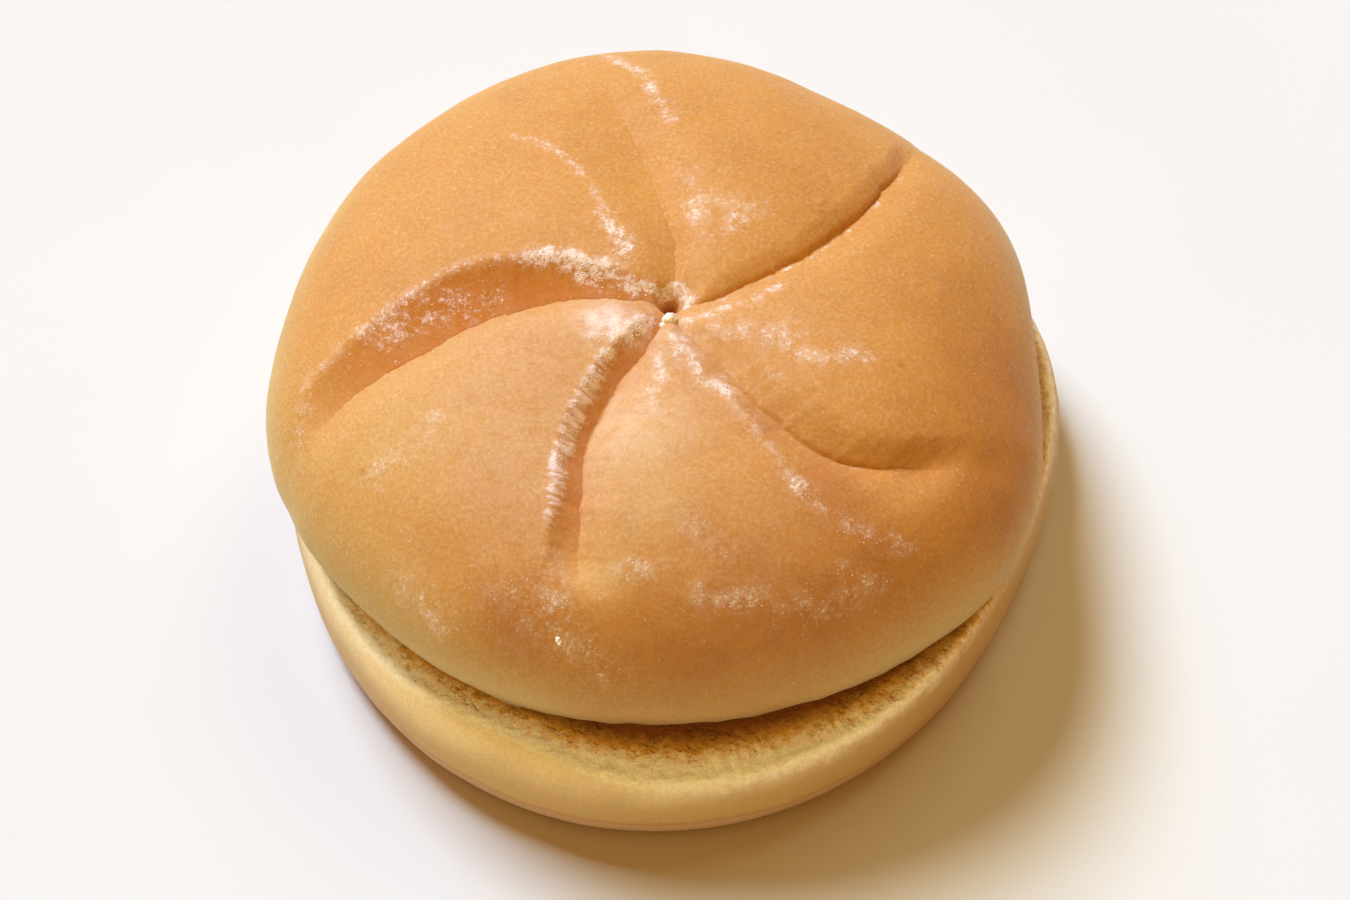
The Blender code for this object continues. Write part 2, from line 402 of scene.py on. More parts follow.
class RollColours(bpy.types.PropertyGroup):
    """Colours of the crust, crumb and flour, and of the floor."""

    golden: colour_property("Golden crust", "#CA893E", "Crust on top of the lobes")
    # Laid on by the browning, which on the front and the right is partly painted shade
    baked: colour_property("Baked crust", "#B06A2A", "Crust where it baked darkest")
    # Laid on by the paler areas, which are partly painted light and painted sheen
    pale: colour_property("Pale crust", "#DDBB7C", "Crust that stayed paler than the rest")
    # Painted shade on the crown's lowest side, where the crumb below shades it
    tucked: colour_property("Tucked edge", "#8A5216", "Crust that curls in under the crown")
    # Partly painted shade on the groove walls
    groove: colour_property("Groove crust", "#C2731F", "Smooth walls of the star's arms")
    dry: colour_property("Dry skin", "#EFD5A2", "Pale dry skin between the crust's grains")
    # Painted shade in the creases; also the brown dots and the line at the heel's base, which are
    # the bread's own
    crease: colour_property("Crease", "#B4661F", "Bottom of the creases")
    # On the crown, partly a painted sheen along the outline
    rim: colour_property("Rim crust", "#C4A866", "Pale crust low on the crown's side")
    # Partly painted light on the heel's top
    lip: colour_property("Lip crust", "#EED4A4", "Palest crust, along the heel's cut edge")
    heel: colour_property("Heel crust", "#CBA66C", "Pale crust on the heel's side")
    # Painted shade on the heel's side in the crown's shadow
    shaded_heel: colour_property("Browned heel", "#BC8A3E", "Heel crust that baked longer")
    base: colour_property("Base crust", "#CBA680", "Crust that lay on the baking tray")
    crumb: colour_property("Crumb", "#FFF0D4", "Inside of the bread near the cut edge")
    # Painted shade in the pores and under the crown, with the crumb's own mottling
    shaded_and_mottled_crumb: colour_property("Deep crumb", "#E0A23E", "Pores and the middle of the crumb")
    # Painted shade far in under the crown
    crumb_shadow: colour_property("Inner crumb", "#84460C", "Dense crumb far in under the crown")
    flour: colour_property("Flour", "#FAEBEA", "Flour on the crust")
    # Partly painted light, on the ribs and the groove walls that face away from the key light
    lit_ridge_flour: colour_property("Ridge flour", "#FFEAFF", "Thicker flour on the ribbed ridge")
    loose: colour_property("Loose flour", "#F8EBDF", "Single grains and lumps of flour")
    floor: colour_property("Floor", "#F3F1EE", "Pale floor under the roll")


def between(values, reach):
    """The smooth curve through values that stand at even steps of the reach."""
    spans = len(values) - 1
    place = np.clip(reach, 0, 1) * spans
    first = np.minimum(np.floor(place), spans - 1).astype(int)
    t = place - first
    padded = np.array([2 * values[0] - values[1], *values, 2 * values[-1] - values[-2]])
    a, b, c, d = (padded[first + step] for step in range(4))
    return b + 0.5 * t * (c - a + t * (2 * a - 5 * b + 4 * c - d + t * (3 * b - a - 3 * c + d)))


def ease(low, high, value):
    share = np.clip((value - low) / (high - low), 0, 1)
    return share * share * (3 - 2 * share)


def hump(distance, width):
    return np.exp(-((distance / width) ** 2))


def ripple(along, shortest, longest, seed):
    """A smooth uneven line, about -1 to 1, with ripples between two lengths."""
    draws = np.random.default_rng(seed)
    lengths = np.geomspace(shortest, longest, RIPPLE_WAVES)
    phases = draws.uniform(0, 2 * math.pi, RIPPLE_WAVES)
    waves = (np.sin(2 * math.pi * along / length + phase) for length, phase in zip(lengths, phases))
    return sum(waves) / RIPPLE_TALLEST


def outline(radius, waves, turn):
    """The uneven round outline's radius at each turn, from waves of (count, height, first peak)."""
    for count, height, peak in waves:
        radius = radius + height * np.cos(count * turn - math.radians(count * peak))
    return radius


def lobe_edge(distance, width, softness):
    """How far down, 0 to 1, a lobe's rounded edge is at this distance from the crease."""
    share = np.clip(distance / width, 0, 1)
    steep = 1 - np.sqrt(np.clip(1 - (1 - share) ** 2, 0, 1))
    gentle = 0.5 + 0.5 * np.cos(np.pi * share)
    return steep + (gentle - steep) * softness


def groove_wall(distance, width, crest):
    """How far down, 0 to 1, the wall on the other side of the crease is: a hollow under a
    rounded crest, or a plain slope."""
    share = distance / width
    above = 1 - share**WALL_HOLLOW
    hollow = 0.5 * (above + np.sqrt(above * above + CREST_ROUND**2))
    return crest * hollow + (1 - crest) * np.clip(1 - share, 0, 1) ** WALL_SLOPE


def arm_depth(arm, reach, radius):
    """An arm's depth, which fades past the crease's sharp part and is held back near the
    centre, where the lobes are narrow."""
    fade = 1 - (1 - FADED_DEPTH) * ease(arm.sharp_to, arm.sharp_to + FADE_LENGTH, reach)
    return np.minimum(np.clip(between(arm.depths, reach), 0, None) * fade, STEEPEST_GROOVE * radius)


def crease_turn(index, reach, radius):
    """An arm's bearing on its way out, with the small wander of a pressed and torn crease."""
    wander = sum(
        height * ripple(reach * CROWN_RADIUS, shortest, longest, seed + index)
        for height, shortest, longest, seed in CREASE_WANDERS
    )
    turn = np.radians(between(ARMS[index].bearings, reach))
    return turn + wander * ease(1, 6, radius) / np.maximum(radius, 1)


def faded(arm, reach):
    """How far, 0 to 1, an arm's crease has faded on its way out."""
    return ease(arm.sharp_to - FADE_LENGTH, arm.sharp_to + FADE_LENGTH, reach)


def crease_line(index, depth, reach, radius):
    """How strongly an arm's dark line shows on its way out, and how torn it is."""
    arm = ARMS[index]
    strength = np.clip(depth / LINE_DEPTH, 0, 1) * (1 - faded(arm, reach)) * arm.line
    torn = TORN_SHARE + TORN_SWING * ripple(radius, 0.9, 9, SEED + 40 + index)
    return strength, np.clip(torn, 0, 1)


def lobe(index, reach, sizes):
    """One lobe of the dome, on a grid of reach by columns: its turns, its relief, and masks of
    the crease, its crumbly lip and the groove's wall."""
    arm = ARMS[index]
    next_index = (index + 1) % len(ARMS)
    next_arm = ARMS[next_index]
    radius = np.maximum(reach * CROWN_RADIUS, NEAREST_RADIUS)
    first = crease_turn(index, reach, radius)
    last = crease_turn(next_index, reach, radius) + 2 * math.pi * (next_index == 0)
    even = np.arange(LOBE_COLUMNS)[None, :] / LOBE_COLUMNS
    share = even - COLUMN_BUNCHING * np.sin(2 * math.pi * even) / (2 * math.pi)
    span = last - first
    turn = first + span * share
    arc = radius * span
    before, after = share * arc, (1 - share) * arc

    here, there = arm_depth(arm, reach, radius), arm_depth(next_arm, reach, radius)
    softness = arm.soft + (1 - arm.soft) * faded(arm, reach)
    edge_width = np.minimum(arm.edge, EDGE_SHARE * arc)
    wall_width = np.clip(between(next_arm.walls, reach), NARROWEST_WALL, None)
    wall_width = np.minimum(wall_width, WALL_SHARE * arc)
    edge = here * lobe_edge(before, edge_width, softness)
    wall = there * groove_wall(after, wall_width, next_arm.crest)
    pit = STAR_PIT_DEPTH * hump(radius, STAR_PIT_RADIUS)
    hollow = (edge**BLEND_POWER + wall**BLEND_POWER + pit**BLEND_POWER) ** (1 / BLEND_POWER)
    x, y = radius * np.cos(turn) - HOLE_SHIFT[0], radius * np.sin(turn) - HOLE_SHIFT[1]
    hole = hump(np.hypot(x, y), HOLE_RADIUS)
    puff = LOBE_PUFF * np.sin(np.pi * share) * np.sin(np.pi * reach)

    strength, torn = crease_line(index, here, reach, radius)
    next_strength, next_torn = crease_line(next_index, there, reach, radius)
    slit = np.maximum(hump(before, SLIT_WIDTH) * strength, hump(after, SLIT_WIDTH) * next_strength)
    ridge = hump(after - wall_width, RIDGE_WIDTH) * np.clip(there / 3, 0, 1) * next_arm.crest
    lean = hump(before - OVERHANG_ASIDE, OVERHANG_WIDTH) * (1 - hump(before, LINE_WIDTH))
    lean = lean * strength * ease(3, 8, radius)
    # Painted shade: the dark lines along the creases and in the hole of the star's pit, and a soft
    # darkening on the walls beside them
    line = np.maximum(hump(before, LINE_WIDTH) * strength * torn, 0.9 * ease(0.35, 0.8, hole))
    wall_line = np.maximum(
        hump(after, WALL_LINE_WIDTH) * next_torn, 0.4 * hump(after, 3.0) * next_arm.crest
    )
    crumbs = hump(after - CRUMBS_ASIDE, CRUMBS_WIDTH) * np.clip(next_strength * 1.5, 0, 1)
    on_wall = ease(1.25, 0.7, after / wall_width) * np.clip(there / 3.5, 0, 1)
    return {
        "turn": turn - lean * sizes.overhang / MM / np.maximum(radius, 1),
        "relief": puff - hollow - HOLE_DEPTH * hole - slit * sizes.slit / MM + RIDGE_HEIGHT * ridge,
        "crease": np.maximum(line, wall_line * next_strength),
        "crumbs": crumbs * next_torn**2 * (1 - next_arm.crest),
        "wall": on_wall * (1 - faded(next_arm, reach)) * next_arm.crest,
    }


def dome_place(reach, turn):
    """A point of the plain dome, with no star in it."""
    edge = outline(CROWN_RADIUS, CROWN_WAVES, turn)
    x = STAR_CENTRE[0] + reach * (edge * np.cos(turn) - STAR_CENTRE[0])
    y = STAR_CENTRE[1] + reach * (edge * np.sin(turn) - STAR_CENTRE[1])
    z = WIDEST_LEVEL + (CROWN_HEIGHT - WIDEST_LEVEL) * np.sqrt(np.clip(1 - reach**DOME_POWER, 0, 1))
    return np.stack([x, y, z + 0 * turn], axis=-1)


def near(plain, bearing, percent, radius):
    """How near each point is to a spot of the dome: 1 on it, and less round about."""
    spot = dome_place(percent / 100, np.radians(bearing))
    return hump(np.linalg.norm(plain - spot, axis=-1), radius)


def covered(plain, areas):
    """How far soft round areas cover each point, each up to its own strength."""
    bare = np.ones(plain.shape[:-1])
    for bearing, percent, radius, strength in areas:
        bare *= 1 - strength * near(plain, bearing, percent, radius)
    return 1 - bare


def crown_place(points):
    """The crown's own points turned and moved to where it lies on the heel: its back edge stays
    down and its front lifts."""
    tilt = math.radians(CROWN_TILT)
    y, z = points[..., 1] - CROWN_RADIUS, points[..., 2]
    return np.stack(
        [
            points[..., 0] + CROWN_SHIFT[0],
            y * math.cos(tilt) + z * math.sin(tilt) + CROWN_RADIUS + CROWN_SHIFT[1],
            z * math.cos(tilt) - y * math.sin(tilt) + CUT_LEVEL,
        ],
        axis=-1,
    )


def round_ring(radius, turn, level):
    return np.stack([radius * np.cos(turn), radius * np.sin(turn), level + 0 * turn], axis=-1)


def crown_form(sizes):
    """The crown's points, ring by ring from the star down the side and in over the cut face,
    the same points with no star in them, and its masks on the same grid."""
    rise = (math.pi / 2) * (np.arange(DOME_RINGS + 1)[:, None] / DOME_RINGS) ** DOME_RING_SPREAD
    reach = np.sin(rise) ** (2 / DOME_POWER)
    lobes = [lobe(index, reach, sizes) for index in range(len(ARMS))]
    grid = {key: np.concatenate([one[key] for one in lobes], axis=1) for key in lobes[0]}
    turn, relief = grid.pop("turn"), grid.pop("relief")
    plain = dome_place(reach, turn)
    for blister in BLISTERS:
        relief = relief + BLISTER_HEIGHT * near(plain, *blister)
    # The plain dome is a flattened superellipse, and the relief follows its slope.
    out_part = (CROWN_HEIGHT - WIDEST_LEVEL) * np.sin(rise) ** (2 - 2 / DOME_POWER)
    up_part = CROWN_RADIUS * (2 / DOME_POWER) * np.cos(rise)
    length = np.hypot(out_part, up_part)
    out, up = out_part / length, up_part / length
    slope = np.stack([out * np.cos(turn), out * np.sin(turn), up + 0 * turn], axis=-1)
    rings = list(plain + relief[..., None] * slope)

    turn, relief = turn[-1], relief[-1]
    edge = outline(CROWN_RADIUS, CROWN_WAVES, turn)
    torn = CUT_TEAR * ripple(turn * CROWN_RADIUS, 5, 40, SEED + 20)
    for step in range(1, SIDE_RINGS + 1):
        share = step / SIDE_RINGS
        level = WIDEST_LEVEL + (CUT_ROUND - WIDEST_LEVEL) * share
        fall = 1 - level / WIDEST_LEVEL
        radius = edge + relief * (1 - fall) - CUT_TUCK * fall * fall + torn * share**4
        rings.append(round_ring(radius, turn, level))
    rim = edge - CUT_TUCK * (1 - CUT_ROUND / WIDEST_LEVEL) ** 2 + torn
    for step in range(1, ROUND_RINGS + 1):
        lean = step / ROUND_RINGS * math.pi / 2
        radius, level = rim - CUT_ROUND * (1 - math.cos(lean)), CUT_ROUND * (1 - math.sin(lean))
        rings.append(round_ring(radius, turn, level))
    for step in range(1, FACE_RINGS + 1):
        rings.append(round_ring((rim - CUT_ROUND) * (1 - step / FACE_RINGS), turn, 0.0))
    points = np.stack(rings)

    below = len(points) - len(plain)
    for key, mask in grid.items():
        grid[key] = np.concatenate([mask, np.repeat(mask[-1:], below, axis=0)])
    plain = np.concatenate([plain, points[len(plain) :]])
    # The masks come in over these levels on the side.
    level = points[..., 2]
    grid["wall"] *= ease(1, 6, level)
    grid["crust"] = ease(0.2, 1.5, level)
    # The low side is paler: partly its own paler crust, partly a painted sheen along the outline;
    # less towards the back
    grid["side"] = ease(20, 4, plain[..., 2]) * (1 - 0.4 * ease(0, 40, plain[..., 1]))
    # Painted shade on the lowest part of the crown's side, which the crumb below shades
    grid["tucked"] = ease(6.5, 0.5, plain[..., 2])
    return points, plain, grid


def streak_distance(plain, streak):
    """How far each point is from a streak's line, less than nothing on its right, and how far
    along the line its nearest point is."""
    bearings, percents = np.array(streak.points, float).T
    line = dome_place(percents / 100, np.radians(bearings))
    nearest = np.full(plain.shape[:-1], np.inf)
    along = np.zeros(plain.shape[:-1])
    hand = np.ones(plain.shape[:-1])
    passed = 0.0
    for start, end in zip(line[:-1], line[1:]):
        step = end - start
        length = np.linalg.norm(step)
        share = np.clip((plain - start) @ step / length**2, 0, 1)
        distance = np.linalg.norm(plain - start - share[..., None] * step, axis=-1)
        closer = distance < nearest
        nearest = np.where(closer, distance, nearest)
        along = np.where(closer, passed + share * length, along)
        turned = step[0] * (plain - start)[..., 1] - step[1] * (plain - start)[..., 0]
        hand = np.where(closer, np.where(turned < 0, -1.0, 1.0), hand)
        passed += length
    return nearest * hand, along


def flour_masks(plain, grid):
    """How much flour lies at each point, how much in the ribs on the ridge, which fade towards
    both ends, and each point's place along and across them."""
    bare = np.full(plain.shape[:-1], 1 - OVERALL_DUST)
    for streak in STREAKS:
        bare *= 1 - streak.strength * hump(streak_distance(plain, streak)[0], streak.width)
    bare *= 1 - CRUMBS_FLOUR * grid.pop("crumbs")
    grid["flour"] = (1 - bare) * grid["crust"]
    grid["film"] = covered(plain, FILMS) * grid["crust"]
    across, along = streak_distance(plain, RIBBED_STREAK)
    end = along.max()
    fade = ease(-3, 5, along) * ease(end + 1, 0.6 * end, along)
    grid["ribs"] = RIBBED_STREAK.strength * fade * hump(across, RIBBED_STREAK.width)
    grid["along"], grid["across"] = along, across


def bake_and_shade_masks(plain, grid):
    """Darker and paler crust, partly baked, partly painted shade and light, and small brown dots.
    """
    for mask, spots in (("baked", BAKED_SPOTS), ("dots", BROWN_DOTS)):
        grid[mask] = np.max([near(plain, *spot) for spot in spots], axis=0)
    grid["broad"] = covered(plain, BROWNER_AND_SHADED)
    grid["pale"] = covered(plain, PALE_AND_LIT_AREAS)


def lip_inset(turn):
    """How far the heel's cut edge stands in from its widest part."""
    apart = (np.degrees(turn) - LEAN_BEARING + 180) % 360 - 180
    return LIP_INSET + LIP_LEAN * hump(apart, LEAN_SPREAD)


def heel_form():
    """The heel's points, ring by ring from the middle of its cut face round to its base, and
    its masks on the same grid."""
    turn = 2 * math.pi * np.arange(HEEL_COLUMNS) / HEEL_COLUMNS
    edge = outline(HEEL_RADIUS, HEEL_WAVES, turn)
    torn = LIP_TEAR * ripple(turn * HEEL_RADIUS, 1.3, 9, SEED + 30)
    lip = edge - lip_inset(turn)
    crumb_edge = lip - LIP_ROUND
    inner = crumb_edge - CRUMB_BAND
    radii = [inner * step / INNER_RINGS for step in range(INNER_RINGS)]
    radii += [inner + CRUMB_BAND * step / CRUMB_RINGS for step in range(CRUMB_RINGS + 1)]
    rings = []
    for radius in radii:
        sunk = CRUMB_DROP * ease(0, CRUMB_EDGE, crumb_edge - radius)
        level = HEEL_HEIGHT + torn - sunk + CRUMB_RISE * (1 - (radius / crumb_edge) ** 2)
        rings.append(round_ring(radius, turn, level))

    # From the crumb over the lip down to the widest part the side is one rounded quarter.
    rise = HEEL_HEIGHT + torn - HEEL_WIDEST
    for step in range(1, LIP_RINGS + SIDE_RINGS + 1):
        lean = step / (LIP_RINGS + SIDE_RINGS) * math.pi / 2
        radius = crumb_edge + (edge - crumb_edge) * math.sin(lean)
        rings.append(round_ring(radius, turn, HEEL_WIDEST + rise * math.cos(lean)))
    for step in range(1, SIDE_RINGS + 1):
        lean = step / SIDE_RINGS * math.pi / 2
        inset = BASE_INSET * (1 - math.cos(lean) ** BASE_SQUARENESS)
        rings.append(round_ring(edge - inset, turn, HEEL_WIDEST * (1 - math.sin(lean))))
    for step in range(1, FACE_RINGS + 1):
        rings.append(round_ring((edge - BASE_INSET) * (1 - step / FACE_RINGS), turn, 0.0))
    points = np.stack(rings)

    inward = lip - np.hypot(points[..., 0], points[..., 1])
    on_top = np.arange(len(points))[:, None] < len(radii) + LIP_RINGS + SIDE_RINGS // 2
    inward = np.where(on_top, np.clip(inward, -5, 30), -5.0)
    # Painted shade on the side in the crown's shadow: browner crust and a wider dark band of crumb;
    # on the other side that band is narrower and the lip paler.
    from_front = (np.degrees(turn) + 270) % 360 - 180
    side_shade = ease(SHADED_FROM, SHADED_TO, from_front) * ease(BACK_TO, BACK_FROM, from_front)
    loose = ease(NARROW_FROM, NARROW_TO, -from_front) * ease(BACK_TO, BACK_FROM, -from_front)
    # Painted shade: far in under the crown's edge, seen from above, the crumb is darker.
    aside, back = points[..., 0] - CROWN_SHIFT[0], points[..., 1] - CROWN_SHIFT[1]
    crown_edge = outline(CROWN_RADIUS, CROWN_WAVES, np.arctan2(back, aside))
    under = 0.55 * inward + 0.45 * (crown_edge - np.hypot(aside, back))
    grid = {
        "crumb": ease(-0.4, 1.0, inward),
        "inward": inward,
        "under": under + SHADED_CRUMB_SHIFT * side_shade - NARROWER_SHADE * loose,
        "side_shade": side_shade - loose + 0 * inward,
        "crust": np.where(inward > -1.0, 0.0, ease(0.5, 3, points[..., 2])),
    }
    return points, grid


def wrapped_sheet(name, points, grid):
    """A flat sheet of squares wrapped round into a closed body: each vertex moves to its point,
    the two side edges meet, and the first and last rows close to the poles. Each mask of the
    grid becomes an attribute, for the materials and modifiers to read."""
    rows, columns = len(points) - 1, len(points[0])
    bpy.ops.object.select_all(action="DESELECT")
    bpy.ops.mesh.primitive_grid_add(x_subdivisions=columns, y_subdivisions=rows, size=2)
    piece = bpy.context.object
    piece.name = piece.data.name = name
    mesh = piece.data
    flat = np.empty(len(mesh.vertices) * 3, np.float32)
    mesh.vertices.foreach_get("co", flat)
    x, y, z = flat.reshape(-1, 3).astype(float).T
    row = np.rint((1 - y) / 2 * rows).astype(int)
    column = np.rint((x + 1) / 2 * columns).astype(int) % columns
    mesh.vertices.foreach_set("co", (points[row, column] * MM).astype(np.float32).ravel())
    for mask_name, mask in grid.items():
        values = mask[row, column].astype(np.float32)
        mesh.attributes.new(mask_name, "FLOAT", "POINT").data.foreach_set("value", values)
    mesh.update()
    bpy.ops.object.mode_set(mode="EDIT")
    bpy.ops.mesh.select_all(action="SELECT")
    bpy.ops.mesh.remove_doubles(threshold=WELD * MM)
    bpy.ops.object.mode_set(mode="OBJECT")
    bpy.ops.object.shade_smooth()
    return piece


def give_group(piece, name):
    """A vertex group from the mask of that name, in even steps, for modifiers that fade out."""
    values = np.empty(len(piece.data.vertices), np.float32)
    piece.data.attributes[name].data.foreach_get("value", values)
    group = piece.vertex_groups.new(name=name + "_group")
    steps = np.rint(values * GROUP_STEPS).astype(int)
    for step in range(1, GROUP_STEPS + 1):
        group.add(np.flatnonzero(steps == step).tolist(), step / GROUP_STEPS, "REPLACE")
    return group.name


def displace(piece, name, size, height, detail, group="", middle=0.5):
    """Pushes the surface in and out by clouds of this size in millimetres, over this height in
    metres, and applies it."""
    texture = bpy.data.textures.new(name, "CLOUDS")
    texture.noise_scale = size * MM
    texture.noise_depth = detail
    modifier = piece.modifiers.new(name, "DISPLACE")
    modifier.texture = texture
    modifier.texture_coords = "LOCAL"
    modifier.strength = height
    modifier.mid_level = middle
    modifier.vertex_group = group
    bpy.context.view_layer.objects.active = piece
    bpy.ops.object.modifier_apply(modifier=name)


# Settings that many nodes share
TIMES = {"operation": "MULTIPLY"}
LARGER = {"operation": "MAXIMUM"}
EASED = {"interpolation_type": "SMOOTHSTEP"}
COLOURED = {"data_type": "RGBA"}
SHADED = {"data_type": "RGBA", "blend_type": "MULTIPLY"}


def add(tree, kind, *values, sockets=None, output=None, **settings):
    """Adds a node with its settings. Its values, plain or other nodes' outputs, go to its sockets
    in order, or by name. Returns its first output, or the one that is named."""
    node = tree.nodes.new("ShaderNode" + kind)
    for name, value in settings.items():
        setattr(node, name, value)
    usable = [socket for socket in node.inputs if socket.enabled]
    filled = list(zip(usable, values))
    for name, value in (sockets or {}).items():
        filled.append((next(socket for socket in usable if socket.name == name), value))
    for socket, value in filled:
        if isinstance(value, bpy.types.NodeSocket):
            tree.links.new(value, socket)
        else:
            socket.default_value = value
    ends = (end for end in node.outputs if end.enabled and output in (None, end.name))
    return next(ends, None)


def new_material(name):
    """An empty material, and the object coordinates that its patterns read."""
    material = bpy.data.materials.new(name)
    material.use_nodes = True
    tree = material.node_tree
    tree.nodes.clear()
    return material, tree, add(tree, "TexCoord", output="Object")


def per_metre(size):
    """A pattern's scale, from the size of its features in millimetres."""
    return 1000 / size


def read_masks(tree, names):
    """The masks that the piece carries as attributes, by name."""
    return {name: add(tree, "Attribute", output="Fac", attribute_name=name) for name in names}


def weighed(tree, start, *parts):
    """Adds patterns to the start, each times its weight."""
    for pattern, weight in parts:
        start = add(tree, "Math", pattern, weight, start, operation="MULTIPLY_ADD")
    return start


def guided(tree, amount, guide, low, high, start, end):
    """Scales an amount by start to end, eased, as the guide goes from low to high."""
    share = add(tree, "MapRange", guide, low, high, start, end, **EASED)
    return add(tree, "Math", amount, share, **TIMES)


def painted(tree, colour, *coats):
    """Lays colours over the first one, each as thickly as its amount says."""
    for amount, coat in coats:
        colour = add(tree, "Mix", amount, colour, coat, **COLOURED)
    return colour


def crown_crust(colours, sizes):
    """Wheat crust, baked golden and dusted with flour: matt, with a faint soft sheen, some light
    from under its surface, and a skin of very fine grain."""
    material, tree, place = new_material("baked_wheat_crust")
    names = "baked broad pale side tucked wall crease dots flour film ribs along across"
    masks = read_masks(tree, names.split())
    patches = add(tree, "TexNoise", place, per_metre(CRUST_PATCH), 3.0)
    mottle = add(tree, "TexNoise", place, per_metre(CRUST_MOTTLE), 3.0)
    grain = add(tree, "TexNoise", place, per_metre(CRUST_GRAIN), 2.0, 0.65)

    # Browner in patches, and on the front and the right, where it is partly painted shade
    browning_and_shade = weighed(
        tree, 0.0, (masks["baked"], 0.22), (patches, 0.7), (mottle, 0.5), (masks["broad"], 0.4)
    )
    browning_and_shade = add(tree, "MapRange", browning_and_shade, 0.4, 1.35, **EASED)
    # The groove walls: partly the crust's own deeper orange, partly painted shade
    wall = guided(tree, masks["wall"], mottle, 0.25, 0.6, 0.55, 0.95)
    # Paler areas: partly paler crust, partly painted light and a painted sheen along the outline
    pale = guided(tree, masks["pale"], patches, 0.3, 0.6, 0.75, 1.1)
    # Pale low side, partly a painted sheen along the outline, less where the crust is browner
    side = guided(tree, masks["side"], masks["broad"], 0.0, 0.95, 0.9, 0.5)
    # Painted shade low on the crown's side, over the cut
    tucked = add(tree, "Math", masks["tucked"], 0.85, **TIMES)
    # Pale dry skin shows between the grains, more in some patches than in others.
    dry = add(tree, "MapRange", grain, 0.34, 0.8, 0.03, 0.22, **EASED)
    dry = guided(tree, dry, mottle, 0.3, 0.7, 0.6, 1.3)
    dry = guided(tree, dry, masks["wall"], 0.0, 1.0, 1.0, 0.25)
    dry = guided(tree, dry, masks["broad"], 0.0, 1.0, 1.0, 0.45)
    colour = painted(
        tree,
        colours.golden,
        (browning_and_shade, colours.baked),
        (wall, colours.groove),
        (pale, colours.pale),
        (side, colours.rim),
        (tucked, colours.tucked),
        (dry, colours.dry),
        # Painted shade in the creases and the star's pit; the brown dots are the crust's own
        (add(tree, "Math", masks["crease"], 0.85, **TIMES), colours.crease),
        (add(tree, "Math", masks["dots"], 0.8, **TIMES), colours.crease),
    )
    shade = add(tree, "MapRange", grain, 0.3, 0.7, 0.98, 1.02, **EASED)
    colour = add(tree, "Mix", 1.0, colour, shade, **SHADED)

    fleck = add(tree, "TexNoise", place, per_metre(FLOUR_FLECK), 3.0, 0.7)
    clump = add(tree, "TexNoise", place, per_metre(FLOUR_CLUMP), 3.0)
    # Strokes of flour across the ridge: noise drawn out along them
    slant = weighed(tree, masks["along"], (masks["across"], RIB_SLANT))
    along_ridge = add(tree, "Math", slant, 1 / RIB_SPACING, **TIMES)
    across_ridge = add(tree, "Math", masks["across"], 1 / RIB_LENGTH, **TIMES)
    strokes = add(tree, "CombineXYZ", along_ridge, across_ridge)
    rib = add(tree, "TexNoise", strokes, 1.0, 1.0)
    rib = add(tree, "MapRange", rib, 0.4, 0.6, **EASED)
    rib = guided(tree, rib, fleck, 0.3, 0.55, 0.8, 1.0)
    ragged = weighed(tree, masks["ribs"], (fleck, 0.8), (rib, 0.18))
    ribbed = add(tree, "MapRange", ragged, 0.59, 1.49, **EASED)
    ribbed = add(tree, "Math", ribbed, weighed(tree, 0.48, (rib, 0.52)), **TIMES)
    # Flecks of flour, which grow and join where much of it lies, over a thin film
    amount = guided(tree, masks["flour"], clump, 0.34, 0.62, 0.5, 1.15)
    amount = add(tree, "Math", amount, ribbed, **LARGER)
    threshold = add(tree, "MapRange", amount, 0.0, 1.0, 0.75, 0.34, **EASED)
    flour = add(tree, "Math", fleck, threshold, operation="SUBTRACT")
    flour = add(tree, "MapRange", flour, -0.13, 0.2, 0.0, 0.75, **EASED)
    film = add(tree, "MapRange", amount, 0.1, 1.1, **EASED)
    film = weighed(tree, masks["film"], (film, 0.36))
    film = guided(tree, film, clump, 0.25, 0.6, 0.5, 1.0)
    film = guided(tree, film, masks["wall"], 0.0, 1.0, 1.0, 0.45)
    flour = add(tree, "Math", flour, film, **LARGER)
    flour = add(tree, "Math", flour, add(tree, "Math", ribbed, 0.95, **TIMES), **LARGER)
    # Brighter, bluer flour on the ribs and the groove walls: partly thicker flour, partly painted
    # light where they face away from the key light
    thick = add(tree, "Math", masks["wall"], 0.8, **TIMES)
    thick = add(tree, "Math", ribbed, thick, **LARGER)
    powder = painted(tree, colours.flour, (thick, colours.lit_ridge_flour))
    colour = painted(tree, colour, (flour, powder))

    relief = ((grain, sizes.crust_grain / MM), (mottle, 0.06), (flour, 0.07))
    height = weighed(tree, 0.0, *relief)
    roughness = add(tree, "MapRange", mottle, 0.3, 0.7, 0.55, 0.7, **EASED)
    shader = add(
        tree,
        "BsdfPrincipled",
        sockets={
            "Base Color": colour,
            "Roughness": weighed(tree, roughness, (flour, 0.3)),
            "Normal": add(tree, "Bump", sockets={"Height": height, "Distance": MM}),
            "IOR": 1.4,
            "Subsurface Weight": 0.25,
            "Subsurface Radius": (1.0, 0.45, 0.15),
            "Subsurface Scale": 1.5 * MM,
            "Specular IOR Level": 0.3,
            "Sheen Weight": 0.16,
            "Sheen Roughness": 0.4,
            "Sheen Tint": (1.0, 0.95, 0.75, 1.0),
        },
    )
    add(tree, "OutputMaterial", shader)
    return material


